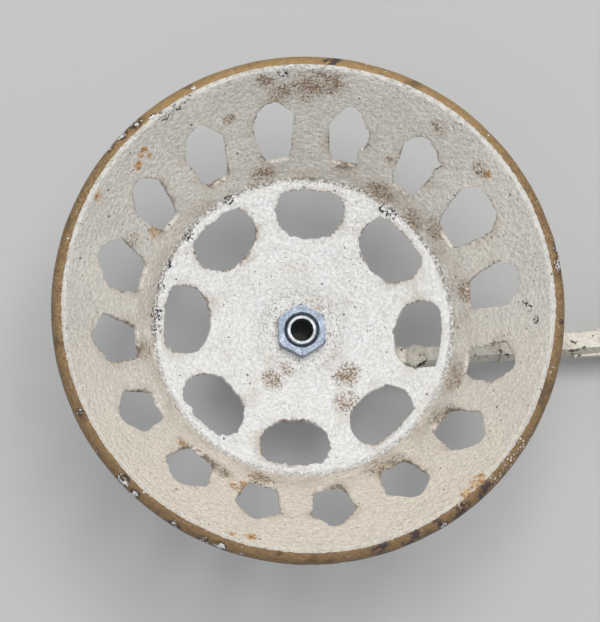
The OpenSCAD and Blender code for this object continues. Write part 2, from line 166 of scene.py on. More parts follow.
class Finish:
    """One procedural material, built node by node. Places are in the object's own metres."""

    def __init__(self, name):
        self.material = bpy.data.materials.new(name)
        self.material.use_nodes = True
        self.tree = self.material.node_tree
        self.tree.nodes.clear()
        self.shader = self.new("ShaderNodeBsdfPrincipled")
        surface = self.new("ShaderNodeOutputMaterial")
        self.tree.links.new(self.shader.outputs[0], surface.inputs[0])
        self.place = self.new("ShaderNodeTexCoord").outputs["Object"]

    def new(self, kind):
        return self.tree.nodes.new(kind)

    def hide_back(self):
        """Lets a view from below see through the surface."""
        surface = self.shader.outputs[0].links[0].to_node
        both = self.new("ShaderNodeMixShader")
        self.tree.links.new(self.new("ShaderNodeNewGeometry").outputs["Backfacing"], both.inputs[0])
        self.tree.links.new(self.shader.outputs[0], both.inputs[1])
        self.tree.links.new(self.new("ShaderNodeBsdfTransparent").outputs[0], both.inputs[2])
        self.tree.links.new(both.outputs[0], surface.inputs[0])

    def feed(self, socket, value):
        if isinstance(value, bpy.types.NodeSocket):
            self.tree.links.new(value, socket)
        elif value is not None:
            socket.default_value = value

    def set(self, name, value):
        self.feed(self.shader.inputs[name], value)

    def math(self, what, a, b=None):
        node = self.new("ShaderNodeMath")
        node.operation = what
        self.feed(node.inputs[0], a)
        self.feed(node.inputs[1], b)
        return node.outputs[0]

    def times(self, *values):
        total = values[0]
        for value in values[1:]:
            total = self.math("MULTIPLY", total, value)
        return total

    def plus(self, a, b):
        return self.math("ADD", a, b)

    def most(self, *values):
        total = values[0]
        for value in values[1:]:
            total = self.math("MAXIMUM", total, value)
        return total

    def step(self, value, low, high, floor=0.0, top=1.0):
        """Goes smoothly from floor to top as value goes from low to high."""
        node = self.new("ShaderNodeMapRange")
        node.interpolation_type = "SMOOTHSTEP"
        self.feed(node.inputs["Value"], value)
        node.inputs["From Min"].default_value = low
        node.inputs["From Max"].default_value = high
        node.inputs["To Min"].default_value = floor
        node.inputs["To Max"].default_value = top
        return node.outputs[0]

    def noise(self, grain, detail=3.0, rough=0.55, shift=0.0, stretch=None):
        """Noise whose blobs are about grain millimetres across."""
        place = self.place
        if shift or stretch:
            mapping = self.new("ShaderNodeMapping")
            self.feed(mapping.inputs["Vector"], place)
            mapping.inputs["Location"].default_value = (shift, shift * 0.7, -shift)
            mapping.inputs["Scale"].default_value = stretch or (1, 1, 1)
            place = mapping.outputs[0]
        node = self.new("ShaderNodeTexNoise")
        self.feed(node.inputs["Vector"], place)
        node.inputs["Scale"].default_value = 1000.0 / (2.0 * grain)
        node.inputs["Detail"].default_value = detail
        node.inputs["Roughness"].default_value = rough
        return node.outputs["Fac"]

    def cells(self, pitch, shift=0.0):
        """Voronoi cells about pitch millimetres apart: the distance from each centre in cells, and a random
        colour for each cell."""
        place = self.place
        if shift:
            mapping = self.new("ShaderNodeMapping")
            self.feed(mapping.inputs["Vector"], place)
            mapping.inputs["Location"].default_value = (shift, -shift, shift * 0.6)
            place = mapping.outputs[0]
        node = self.new("ShaderNodeTexVoronoi")
        self.feed(node.inputs["Vector"], place)
        node.inputs["Scale"].default_value = 1000.0 / pitch
        return node.outputs["Distance"], node.outputs["Color"]

    def mix(self, share, a, b, blend="MIX"):
        node = self.new("ShaderNodeMix")
        node.data_type = "RGBA"
        node.blend_type = blend
        self.feed(node.inputs["Factor"], share)
        colours = [s for s in node.inputs if s.type == "RGBA"]
        self.feed(colours[0], a)
        self.feed(colours[1], b)
        return [s for s in node.outputs if s.type == "RGBA"][0]

    def coats(self, colour, *layers):
        """Lays tints over a colour, one after another. Each layer is (share, strength, tint)."""
        for share, strength, tint in layers:
            colour = self.mix(self.times(share, strength), colour, tint)
        return colour

    def dim(self, colour, factor):
        return self.mix(1.0, colour, factor, "MULTIPLY")

    def split(self, vector=None):
        node = self.new("ShaderNodeSeparateXYZ")
        self.feed(node.inputs[0], vector or self.place)
        return node.outputs

    def attribute(self, name):
        node = self.new("ShaderNodeAttribute")
        node.attribute_name = name
        return node.outputs["Fac"]

    def near(self, centre, reach):
        """1 at a centre given in millimetres, falling to 0 at reach millimetres from it."""
        node = self.new("ShaderNodeVectorMath")
        node.operation = "DISTANCE"
        self.feed(node.inputs[0], self.place)
        node.inputs[1].default_value = [c * MM for c in centre]
        return self.step(node.outputs["Value"], reach * MM, 0.2 * reach * MM)

    def bump(self, *layers):
        """Each layer is (height, depth in millimetres)."""
        normal = None
        for height, depth in layers:
            node = self.new("ShaderNodeBump")
            node.inputs["Strength"].default_value = 1.0
            node.inputs["Distance"].default_value = depth * MM
            self.feed(node.inputs["Height"], height)
            if normal:
                self.feed(node.inputs["Normal"], normal)
            normal = node.outputs[0]
        self.set("Normal", normal)


def rgb(r, g, b):
    return (r, g, b, 1)


# Paint, and the painted highlight along its edge at the rim
CREAM = rgb(0.72, 0.685, 0.62)
WARM_CREAM = rgb(0.76, 0.69, 0.59)
GREY_CREAM = rgb(0.63, 0.605, 0.555)
WHITE = rgb(0.69, 0.695, 0.69)
OFF_WHITE = rgb(0.62, 0.60, 0.56)
PAINTED_EDGE_HIGHLIGHT = rgb(0.88, 0.87, 0.83)
# Dirt, stains and rust on the paint, and painted shade by the crease
PEPPER = rgb(0.22, 0.18, 0.14)
CREASE_SHADE = rgb(0.27, 0.21, 0.15)
CREASE_DIRT_AND_SHADE = rgb(0.16, 0.115, 0.07)
COLLAR_DIRT = rgb(0.21, 0.14, 0.09)
STAIN_WASH = rgb(0.36, 0.27, 0.18)
STAIN = rgb(0.20, 0.12, 0.06)
SMUDGE = rgb(0.10, 0.065, 0.045)
SOAKED = rgb(0.38, 0.30, 0.21)
EDGE_DIRT = rgb(0.14, 0.08, 0.04)
RUST_GLOW = rgb(0.66, 0.40, 0.14)
RUST = rgb(0.40, 0.17, 0.035)
SPECK = rgb(0.065, 0.045, 0.03)
FLAKE = rgb(0.04, 0.04, 0.055)
# The bare rim
LIGHT_GOLD = rgb(0.42, 0.27, 0.11)
GOLD_BROWN = rgb(0.33, 0.215, 0.10)
RIM_BROWN = rgb(0.20, 0.125, 0.06)
RED_BROWN = rgb(0.14, 0.06, 0.02)
PIT_BROWN = rgb(0.07, 0.04, 0.02)
DARK_BROWN = rgb(0.055, 0.035, 0.025)
SCAR = rgb(0.05, 0.035, 0.04)
RIM_CHIP = rgb(0.74, 0.74, 0.76)
BLUISH = rgb(0.46, 0.46, 0.58)
# The arm
ARM_CREAM = rgb(0.76, 0.72, 0.63)
ARM_GREY = rgb(0.62, 0.58, 0.49)
ARM_GRIME = rgb(0.33, 0.26, 0.18)
ARM_STREAK = rgb(0.30, 0.24, 0.18)
BLACK_CHIP = rgb(0.04, 0.035, 0.035)
RUSTY_CHIP = rgb(0.22, 0.10, 0.04)
# Spots on bare metal
TARNISH = rgb(0.10, 0.08, 0.07)


def polar(angle, radius, height):
    """A place in millimetres at an angle in degrees anticlockwise from +X."""
    a = math.radians(angle)
    return (radius * math.cos(a), radius * math.sin(a), height)


def specks(f, pitch, share, size, shift):
    """Round specks in a share of the cells, pitch millimetres apart, with radii up to size millimetres."""
    distance, random = f.cells(pitch, shift)
    chance, scale, _ = f.split(random)
    widest = size / pitch
    chosen = f.step(chance, 1 - share, 1 - share + 0.05)
    reach = f.times(chosen, f.plus(f.times(scale, 0.7), 0.3), widest)
    return f.step(f.math("SUBTRACT", distance, reach), 0.0, -0.15 * widest)


def patches(f, places):
    """The strongest of several soft round patches, each (place, reach, strength)."""
    return f.most(*(f.times(f.near(place, reach), strength) for place, reach, strength in places))


class CupPaint(Finish):
    """Old cream paint on rough cast metal, with dirt, stains, rust, specks and a worn brown rim, and some
    painted light and shade.
    """

    def __init__(self):
        super().__init__("cup_paint")
        self.x, self.y, _ = self.split()
        self.radius = self.math("SQRT", self.plus(self.times(self.x, self.x), self.times(self.y, self.y)))
        self.run, self.edge, self.under = (self.attribute(name) for name in FACTS)
        self.broad = self.noise(40, 3)
        self.middle = self.noise(9, 4, shift=3.1)
        self.fine = self.noise(0.9, 3, 0.7, shift=5)
        self.dust = self.noise(0.55, 2, 0.7, shift=1.7)
        colour = self.paint()
        colour = self.add_dirt_and_shade(colour)
        colour = self.add_stains(colour)
        colour = self.add_rust(colour)
        colour = self.add_specks(colour)
        colour = self.wear_rim_and_paint_light(colour)
        self.set("Base Color", colour)
        self.set("Roughness", self.plus(self.times(self.noise(2.0, 3, shift=7), 0.25), 0.40))
        self.set("Specular IOR Level", 0.4)
        cast = self.noise(1.5, 2.5, 0.5)
        pits = self.most(self.dots, self.flakes)
        self.bump((cast, 1.0), (self.dust, 0.35), (pits, -0.15), (self.rim_pits, -0.2))

    def paint(self):
        """White on the floor, cream up the wall, in uneven grains, with painted light making the wall warmer
        towards -Y and painted shade making the grain stronger towards +Y.
        """
        wall = self.mix(self.step(self.broad, 0.35, 0.65), CREAM, GREY_CREAM)
        # Painted light: the wall's cream is made warmer towards -Y, where the wall faces the key lamp.
        wall = self.mix(self.step(self.y, 0.03, -0.12), wall, WARM_CREAM)
        floor = self.mix(self.step(self.middle, 0.45, 0.75), WHITE, OFF_WHITE)
        wavy_radius = self.plus(self.radius, self.times(self.noise(2.5, 3, shift=6), 3 * MM))
        self.on_wall = self.step(wavy_radius, (CREASE_R + 1.2) * MM, (CREASE_R + 2.0) * MM)
        colour = self.mix(self.on_wall, floor, wall)
        colour = self.mix(self.step(self.under, 0.3, 0.7, 0, 0.7), colour, GREY_CREAM)
        grain = self.step(self.noise(1.0, 2, 0.6), 0.34, 0.66, -0.12, 0.12)
        # Painted shade: the grain is made stronger towards +Y, standing in for the small shadows of the cast
        # texture on that side.
        stronger_up = self.step(self.y, 0.01, 0.09, 0.95, 1.25)
        colour = self.dim(colour, self.plus(self.times(grain, stronger_up), 1.0))
        where = self.step(self.noise(11, 3, shift=31), 0.40, 0.60, 0.08, 0.34)
        return self.mix(self.times(self.step(self.dust, 0.44, 0.33), where), colour, PEPPER)

    def add_dirt_and_shade(self, colour):
        """Dirt in the crease, with painted shade making it darker towards +Y, painted shade and dirt on the
        wall just above it, and dirt round the locknut.
        """
        above = self.math("SUBTRACT", self.radius, CREASE_R * MM)
        wavy = self.plus(above, self.times(self.noise(5, 3, shift=36), 2 * MM))
        on_line = self.step(self.math("ABSOLUTE", wavy), 2.0 * MM, 0.8 * MM)
        crease = self.times(on_line, self.step(self.fine, 0.42, 0.56))
        # Painted shade: the crease line is made darker towards +Y, the cup's shaded side; the rest of the line
        # is dirt.
        crease = self.times(crease, self.step(self.y, -0.08, 0.05, 0.55, 1.0))
        # Painted shade mixed with dirt: a patchy darker band on the wall just above the crease.
        shade = self.times(self.step(above, 15 * MM, 0.5 * MM), self.on_wall)
        shade = self.times(shade, self.step(self.noise(8, 4, shift=25), 0.30, 0.62))
        shade = self.times(shade, self.step(self.fine, 0.36, 0.60, 0.35, 1.0))
        collar = self.step(self.near((0, 0, SEAT_Z), 40), 0.0, 0.6)
        blots = self.step(self.noise(0.8, 3, 0.75, shift=27), 0.54, 0.59)
        collar = self.times(collar, self.most(blots, specks(self, 2.0, 0.5, 0.8, 14.0)))
        return self.coats(
            colour, (shade, 0.5, CREASE_SHADE), (crease, 0.8, CREASE_DIRT_AND_SHADE), (collar, 0.7, COLLAR_DIRT))

    def add_stains(self, colour):
        """Brown stains, as fine dots over a faint wash, and darker smudges."""
        stains = patches(self, STAINS)
        wash = self.times(stains, self.step(self.noise(5, 4, shift=11), 0.36, 0.62))
        density = self.plus(self.times(stains, 0.12), self.times(self.noise(4, 3, shift=39), 0.25))
        dots = self.step(self.plus(self.noise(0.75, 3, 0.75, shift=8), density), 0.665, 0.785)
        dots = self.times(self.step(stains, 0.0, 0.35), dots)
        smudge = self.times(patches(self, SMUDGES), self.step(self.noise(1.4, 4, 0.7, shift=26), 0.40, 0.56))
        return self.coats(colour, (wash, 0.42, STAIN_WASH), (dots, 0.9, STAIN), (smudge, 0.85, SMUDGE))

    def add_rust(self, colour):
        """Rust marks, and brown soaked in beside some windows."""
        marks = patches(self, RUST_MARKS)
        glow = self.times(marks, self.step(self.noise(3, 3, shift=40), 0.30, 0.60))
        rust = self.step(self.noise(1.3, 4, 0.65, shift=28), 0.46, 0.56)
        rust = self.times(self.step(marks, 0.05, 0.5), rust)
        patchy = self.step(self.noise(18, 3, shift=14), 0.44, 0.58)
        soaked = self.times(self.step(self.edge, 9.0, 0.5), patchy, self.step(self.middle, 0.3, 0.7))
        torn = self.step(self.noise(1.4, 4, 0.65, shift=4), 0.44, 0.56)
        by_edge = self.times(self.step(self.edge, 2.2, 0.3), patchy, torn)
        return self.coats(
            colour, (glow, 0.9, RUST_GLOW), (rust, 0.9, RUST), (soaked, 0.5, SOAKED),
            (by_edge, 0.8, EDGE_DIRT))

    def add_specks(self, colour):
        """Dark specks, crowds of small ones in places, and flakes of missing paint."""
        small = self.times(specks(self, 3.4, 0.3, 0.7, 6.0), self.step(self.middle, 0.44, 0.52))
        dots = self.most(specks(self, 7.0, 0.30, 1.0, 0.3), small)
        self.dots = self.times(dots, self.step(self.fine, 0.36, 0.44))
        crowded = self.step(self.noise(13, 3, shift=20), 0.53, 0.64)
        crowd = self.times(specks(self, 1.6, 0.5, 0.55, 9.0), crowded)
        ragged = self.step(self.noise(0.9, 3, 0.6, shift=32), 0.52, 0.55)
        self.flakes = self.times(self.step(patches(self, FLAKES), 0.0, 0.45), ragged)
        return self.coats(colour, (self.most(self.dots, crowd), 0.85, SPECK), (self.flakes, 1.0, FLAKE))

    def wear_rim_and_paint_light(self, colour):
        """Paint that ends in a broken edge with a painted highlight along it, and the bare brown bead beyond
        it.
        """
        ragged = self.times(self.noise(1.3, 4, 0.65, shift=9), 2.2)
        worn = self.plus(self.run, self.plus(ragged, self.times(self.noise(25, 2, shift=2), 2.0)))
        # Painted highlight: a pale broken line where the paint ends, fading out towards -Y.
        painted_edge_highlight = self.step(worn, RIM_START - 2.5, RIM_START + 2.0)
        painted_edge_highlight = self.times(painted_edge_highlight, self.step(self.y, -0.08, 0.06, 0.1, 0.85))
        painted_edge_highlight = self.times(painted_edge_highlight, self.step(self.noise(1.5, 3, 0.7, shift=37), 0.40, 0.54))
        colour = self.mix(painted_edge_highlight, colour, PAINTED_EDGE_HIGHLIGHT)
        # Painted shade: past the wall's upper edge, the paint left on the bead, with its painted highlight, is
        # darkened to 0.68.
        colour = self.dim(colour, self.step(self.run, RIM_START - 0.6, RIM_START + 0.6, 1.0, 0.68))
        rim = self.step(worn, RIM_START + 4.4, RIM_START + 4.55)
        outer = self.plus(self.run, self.times(self.noise(3, 3, shift=34), 2.0))
        outer = self.step(outer, RIM_START + 12.0, RIM_START + 15.0)
        bare = self.scar_rim(self.bare_rim(worn, outer))
        return self.mix(rim, colour, self.chip_rim(bare, rim, outer))

    def bare_rim(self, worn, outer):
        """Mottled brown, golden towards +Y, darker towards -Y and by the paint, and darker on the outer side as
        painted shade.
        """
        brown = self.mix(self.step(self.noise(1.1, 4, 0.7, shift=12), 0.36, 0.62), GOLD_BROWN, RIM_BROWN)
        pits = self.step(self.noise(0.6, 3, 0.7, shift=38), 0.54, 0.62)
        blotches = self.step(self.noise(7, 4, shift=16), 0.54, 0.66)
        by_paint = self.step(worn, RIM_START + 5.6, RIM_START + 4.4)
        by_paint = self.times(by_paint, self.step(self.middle, 0.46, 0.58))
        by_paint = self.times(by_paint, self.step(self.noise(2, 4, shift=33), 0.45, 0.60))
        # The last layer, on the outer side, is painted shade where the bead curves away.
        return self.coats(
            brown, (pits, 0.5, PIT_BROWN), (self.step(self.y, 0.06, 0.13), 0.5, LIGHT_GOLD),
            (self.step(self.y, 0.02, -0.10), 0.6, RIM_BROWN), (blotches, 0.5, DARK_BROWN),
            (by_paint, 0.8, RED_BROWN), (outer, 0.6, DARK_BROWN))

    def scar_rim(self, brown):
        """Dark scars, and dark surrounds where the rim is chipped."""
        scar = self.step(self.noise(3, 5, 0.65, shift=18), 0.46, 0.53)
        scar = self.times(self.step(patches(self, SCARS), 0.0, 0.5), scar)
        surround = self.times(self.step(patches(self, CHIPS), 0.0, 0.4), self.step(self.fine, 0.55, 0.5))
        return self.coats(brown, (scar, 0.9, SCAR), (surround, 1.0, DARK_BROWN))

    def chip_rim(self, brown, rim, outer):
        """Pale chips and sanded specks, flaked paint on the outer side, and a bluish stretch towards +X."""
        sanded = self.times(patches(self, SANDED), specks(self, 1.5, 0.6, 0.8, 3.0))
        ragged = self.step(self.noise(0.7, 3, 0.7, shift=22), 0.46, 0.50)
        small = self.times(specks(self, 6.0, 0.16, 1.5, 9.5), ragged)
        torn = self.plus(self.noise(1.5, 4, 0.7, shift=24), self.times(patches(self, CHIPS), 0.21))
        torn = self.step(torn, 0.67, 0.69)
        flaked = self.times(outer, self.step(self.noise(1.6, 4, 0.65, shift=23), 0.53, 0.56))
        flaked = self.times(flaked, self.step(self.broad, 0.42, 0.55))
        flaked = self.times(flaked, self.step(self.run, RIM_START + 24, RIM_START + 18))
        self.rim_pits = self.times(rim, self.most(torn, flaked))
        blue = self.times(outer, self.step(self.x, 0.095, 0.12))
        blue = self.times(blue, self.step(self.noise(6, 3, shift=35), 0.30, 0.42))
        blue = self.times(blue, self.step(self.run, RIM_START + 20, RIM_START + 16))
        return self.coats(brown, (self.most(small, torn, flaked, sanded), 1.0, RIM_CHIP), (blue, 0.8, BLUISH))


# Marks on the cup, each as (place, reach in millimetres, strength)
STAINS = [
    (polar(90, 133, 96), 17, 1.0),
    (polar(97, 131, 92), 13, 0.8),
    (polar(84, 135, 100), 14, 0.9),
    (polar(101, 137, 103), 9, 0.9),
    (polar(88, 139, 107), 12, 0.6),
    (polar(-45, 41, -4), 13, 1.0),
    (polar(-59, 55, 3), 12, 0.9),
    (polar(-120, 37, -6), 11, 0.9),
    (polar(-110, 27, -10), 8, 0.5),
    (polar(112, 126, 82), 6, 1.0),
    (polar(158, 116, 62), 12, 0.6),
    (polar(105, 100, 30), 12, 0.7),
    (polar(76, 103, 37), 8, 0.9),
    (polar(62, 112, 55), 5, 0.8),
    (polar(39, 133, 95), 9, 0.7),
    (polar(54, 134, 97), 9, 0.6),
    (polar(60, 99, 28), 14, 0.8),
    (polar(44, 98, 26), 12, 0.7),
    (polar(36, 102, 35), 12, 0.8),
    (polar(11, 103, 38), 11, 1.0),
    (polar(-20, 101, 32), 14, 0.7),
    (polar(-64, 101, 33), 13, 0.7),
    (polar(-105, 101, 33), 13, 0.8),
    (polar(-118, 106, 44), 11, 0.8),
    (polar(-134, 107, 45), 8, 1.0),
    (polar(-170, 101, 33), 12, 0.6),
]
SMUDGES = [
    (polar(-33, 105, 41), 10, 1.0),
    (polar(-36, 101, 32), 9, 0.9),
    (polar(-57, 102, 36), 9, 1.0),
    (polar(-63, 105, 41), 6, 0.9),
    (polar(-122, 104, 40), 6, 0.8),
    (polar(76, 103, 37), 4, 1.0),
    (polar(8, 109, 49), 7, 0.5),
]
FLAKES = [
    (polar(96, 139, 108), 6, 1.0),
    (polar(123, 141, 111), 8, 1.0),
    (polar(127, 140, 109), 7, 0.9),
    (polar(120, 141, 111), 6, 1.0),
    (polar(121, 94, 21), 5, 1.0),
    (polar(142, 93, 21), 5, 1.0),
    (polar(156, 94, 20), 4, 0.9),
    (polar(166, 94, 20), 5, 1.0),
    (polar(176, 94, 20), 7, 1.0),
    (polar(182, 94, 20), 6, 0.8),
    (polar(52, 92, 20), 5, 1.0),
    (polar(56, 92, 20), 4, 1.0),
    (polar(2, 129, 88), 4, 1.0),
    (polar(0, 131, 92), 4, 1.0),
    (polar(-3, 134, 97), 4, 1.0),
]
SCARS = [
    (polar(-47, 146, 108), 9, 1.0),
    (polar(-54, 147, 107), 9, 1.0),
    (polar(-61, 148, 106), 10, 1.0),
    (polar(-67, 145, 108), 9, 1.0),
    (polar(-74, 147, 108), 9, 0.7),
    (polar(85, 147, 108), 8, 0.8),
]
SANDED = [
    (polar(-33, 146, 108), 9, 0.9),
    (polar(-38, 147, 107), 9, 0.9),
    (polar(-43, 146, 108), 8, 0.9),
]
CHIPS = [
    (polar(-154, 145, 108), 4, 1.0),
    (polar(-136, 147, 108), 6, 1.0),
    (polar(-132, 148, 107), 5, 0.9),
    (polar(-121, 149, 106), 6, 0.8),
    (polar(-114, 149, 106), 6, 0.9),
    (polar(-110, 148, 107), 5, 1.0),
    (polar(142, 149, 106), 6, 1.0),
    (polar(138, 148, 107), 6, 1.0),
    (polar(134, 147, 108), 6, 0.8),
    (polar(130, 142, 110), 4, 1.0),
    (polar(-4, 146, 108), 3, 1.0),
    (polar(9, 148, 107), 7, 1.0),
    (polar(13, 149, 106), 6, 0.9),
    (polar(-54, 145, 108), 5, 1.0),
    (polar(-59, 148, 107), 4, 1.0),
]
RUST_MARKS = [
    (polar(137, 134, 98), 5, 1.0),
    (polar(136, 131, 92), 3, 1.0),
    (polar(140, 132, 93), 5, 0.8),
    (polar(149, 108, 46), 8, 1.0),
    (polar(144, 113, 57), 5, 0.8),
    (polar(153, 138, 105), 6, 0.7),
    (polar(-112, 111, 54), 6, 1.0),
    (polar(-110, 107, 47), 5, 1.0),
    (polar(-134, 107, 46), 4, 0.9),
    (polar(-47, 140, 109), 8, 1.0),
    (polar(-51, 141, 110), 5, 1.0),
    (polar(-104, 138, 104), 6, 0.8),
    (polar(-108, 139, 107), 4, 0.8),
    (polar(37, 134, 98), 4, 1.0),
]


def metal(name, colour, dark, roughness):
    """Dull metal in two tones, with fine grain and a few tarnished spots."""
    f = Finish(name)
    shade = f.mix(f.step(f.noise(6.0, 4, 0.6), 0.35, 0.7), colour, dark)
    shade = f.dim(shade, f.step(f.noise(0.7, 2, 0.7, shift=8), 0.34, 0.66, 0.72, 1.22))
    spots = f.step(f.noise(1.3, 3, 0.6, shift=4), 0.62, 0.72, 0, 0.5)
    f.set("Base Color", f.mix(spots, shade, TARNISH))
    f.set("Metallic", 1.0)
    f.set("Roughness", f.plus(f.times(f.noise(2.5, 4, shift=2), 0.3), roughness - 0.15))
    f.bump((f.noise(0.5, 3, 0.6, shift=7), 0.05))
    return f.material


def arm_paint():
    """Cream paint on the arm, bracket and housing, chipped to black and rust in places."""
    f = Finish("arm_paint")
    colour = f.mix(f.step(f.noise(18, 4), 0.35, 0.65), ARM_CREAM, ARM_GREY)
    colour = f.dim(colour, f.step(f.noise(1.0, 2, 0.6), 0.34, 0.66, 0.84, 1.06))
    grime = f.step(f.noise(7, 4, shift=12), 0.52, 0.70)
    streaks = f.step(f.noise(3.5, 4, 0.6, shift=15, stretch=(0.25, 1.6, 1.6)), 0.58, 0.66)
    colour = f.coats(colour, (grime, 0.5, ARM_GRIME), (streaks, 0.35, ARM_STREAK))
    chips = f.step(f.plus(f.noise(1.8, 5, 0.62, shift=5), f.times(patches(f, ARM_MARKS), 0.13)), 0.64, 0.66)
    chipped = f.mix(f.step(f.noise(1.4, 3, shift=9), 0.54, 0.66), BLACK_CHIP, RUSTY_CHIP)
    f.set("Base Color", f.mix(chips, colour, chipped))
    f.set("Roughness", f.plus(f.times(f.noise(2.0, 3, shift=7), 0.2), 0.45))
    f.bump((f.noise(1.6, 2.5, 0.5), 0.5), (chips, -0.15))
    return f.material


# Where the arm's paint is chipped most, as (place, reach in millimetres, strength)
ARM_MARKS = [
    ((84, -16, -56), 9, 1.0),
    ((72, -17, -58), 8, 0.8),
    ((142, -9, -57), 8, 1.0),
    ((172, -8, -58), 12, 1.0),
    ((190, -6, -58), 12, 1.0),
    ((215, -4, -58), 16, 0.8),
]


# ---- The cast cup ----
# The cup is laid out by its run, which is the distance along its upper side from the hub hole, and by the
# angle round it.

def soft_line(corners, spacing, soften):
    """Points along a polyline of (radius, height) corners, with every corner rounded."""
    corners = np.array(corners, float)
    along = np.concatenate([[0], np.cumsum(np.hypot(*np.diff(corners, axis=0).T))])
    at = np.arange(0, along[-1] + spacing / 2, spacing)
    line = np.stack([np.interp(at, along, corners[:, k]) for k in (0, 1)], 1)
    reach = int(4 * soften / spacing)
    kernel = np.exp(-0.5 * (np.arange(-reach, reach + 1) * spacing / soften) ** 2)
    kernel /= kernel.sum()
    before = line[0] + (line[0] - line[1]) * np.arange(reach, 0, -1)[:, None]
    after = line[-1] + (line[-1] - line[-2]) * np.arange(1, reach + 1)[:, None]
    padded = np.concatenate([before, line, after])
    return at, np.stack([np.convolve(padded[:, k], kernel, "valid") for k in (0, 1)], 1)


CREASE_STEP = 1.4
CREASE_RISE = 1.0
FLOOR_END_R, FLOOR_END_Z = CREASE_R - CREASE_STEP, CREASE_Z - CREASE_RISE
CORNERS = [
    (HUB_HOLE_R, SEAT_Z),
    (SEAT_R, SEAT_Z),
    (FLOOR_END_R, FLOOR_END_Z),
    (CREASE_R, CREASE_Z),
    (MOUTH_R, MOUTH_Z),
]
RUN, LINE = soft_line(CORNERS, 0.25, 1.3)
SLOPE = np.gradient(LINE, RUN, axis=0)
SLOPE /= np.hypot(*SLOPE.T)[:, None]
SEAT_RUN = SEAT_R - HUB_HOLE_R
HUB_RUN = HUB_R - HUB_HOLE_R
FLOOR_SLANT = math.hypot(FLOOR_END_R - SEAT_R, FLOOR_END_Z - SEAT_Z)
FLOOR_SCALE = FLOOR_SLANT / (FLOOR_END_R - SEAT_R)
CREASE_RUN = SEAT_RUN + FLOOR_SLANT + math.hypot(CREASE_STEP, CREASE_RISE)
RIM_START = CREASE_RUN + math.hypot(MOUTH_R - CREASE_R, MOUTH_Z - CREASE_Z) - 0.8


def thickness(run):
    """The wall's thickness: thicker at the hub, over a 4 mm change."""
    return np.interp(run, [HUB_RUN, HUB_RUN + 4], [HUB_WALL, WALL])


def shell_point(run, depth):
    """Radius and height at a distance along the upper side from the hub hole, and a depth below it."""
    r, z = (np.interp(run, RUN, LINE[:, k]) for k in (0, 1))
    dr, dz = (np.interp(run, RUN, SLOPE[:, k]) for k in (0, 1))
    return r + dz * depth, z - dr * depth


def curve(start, corner, end, steps):
    """A short curve from start to end, drawn towards a corner."""
    return [(1 - t) ** 2 * start + 2 * t * (1 - t) * corner + t ** 2 * end for t in np.linspace(0, 1, steps)]


def rounded(corners, radius):
    """A closed outline with each corner replaced by a short curve."""
    out = []
    count = len(corners)
    for k in range(count):
        before, here, after = (np.array(corners[(k + j) % count], float) for j in (-1, 0, 1))
        a, b = before - here, after - here
        cut = min(radius, 0.45 * np.linalg.norm(a), 0.45 * np.linalg.norm(b))
        out.extend(curve(here + a / np.linalg.norm(a) * cut, here, here + b / np.linalg.norm(b) * cut, 5))
    return np.array(out)


def cast_rays(outline, centre, targets):
    """Where the lines from a centre to each target cross a closed outline around it."""
    a = outline - centre
    b = np.roll(outline, -1, axis=0) - centre
    hits = []
    for target in targets:
        d = target - centre
        d = d / np.linalg.norm(d)
        side_a = d[0] * a[:, 1] - d[1] * a[:, 0]
        side_b = d[0] * b[:, 1] - d[1] * b[:, 0]
        cross = side_a * side_b <= 0
        share = side_a / np.where(side_a == side_b, 1, side_a - side_b)
        reach = np.where(cross, (a + (b - a) * share[:, None]) @ d, -1)
        hits.append(centre + d * reach.max())
    return np.array(hits)


class Shell:
    """Collects vertices with their facts, in the order of FACTS, and faces, for the cup's mesh."""

    def __init__(self):
        self.points, self.facts, self.faces = [], [], []

    def add_grid(self, points, facts):
        """points is rows x columns x 3, and each row closes on itself."""
        rows, columns = points.shape[:2]
        base = len(self.points)
        self.points.extend(points.reshape(-1, 3).tolist())
        self.facts.extend(facts.reshape(-1, 3).tolist())
        for i in range(rows - 1):
            for j in range(columns):
                k = (j + 1) % columns
                a, b = base + i * columns, base + (i + 1) * columns
                self.faces.append((a + j, a + k, b + k, b + j))


AROUND = 384  # vertices round the cup
FAR_FROM_EDGE = 50.0  # the edge fact of a vertex that is in no window's sector


def ring(r, z, angles):
    return np.stack([r * np.cos(angles), r * np.sin(angles), np.full_like(angles, z)], 1)


def turned(run, depth, angles):
    """One ring of the cup: points and facts at a run and a depth."""
    r, z = shell_point(run, depth)
    facts = np.tile([run, FAR_FROM_EDGE, depth / thickness(run)], (len(angles), 1))
    return ring(r, z, angles), facts


def ring_angles(phase):
    return math.radians(90 + phase) + np.arange(AROUND) * TURN / AROUND


def add_rings(shell, runs, side, first_phase, last_phase):
    """Rings over a plain stretch, turning gradually from one phase to another."""
    points, facts = [], []
    for run in runs:
        share = (run - runs[0]) / (runs[-1] - runs[0])
        angles = ring_angles(first_phase + (last_phase - first_phase) * share)
        p, q = turned(run, side * thickness(run), angles)
        points.append(p)
        facts.append(q)
    shell.add_grid(np.array(points), np.array(facts))


# Windows with a chipped side: the side's direction, as anticlockwise and outwards along the run, and how deep
# the chips are. Floor windows are numbered from FIRST_FLOOR_SEED.
FIRST_FLOOR_SEED = 40
CHIPPED = {
    1: (-1.0, 0.1, 5.0),
    2: (-0.8, 0.6, 2.0),
    4: (0.3, 0.9, 3.0),
    40: (0.9, 0.3, 0.9),
    41: (-0.6, 0.8, 0.8),
    44: (0.4, 0.9, 2.6),
    45: (0.0, 1.0, 2.4),
}


def uneven(point, seed, spread, waves_per_mm):
    """Smooth noise at a point in millimetres, from about -1 to 1."""
    return noise.noise(Vector((point[0] * waves_per_mm, point[1] * waves_per_mm, seed * spread)))


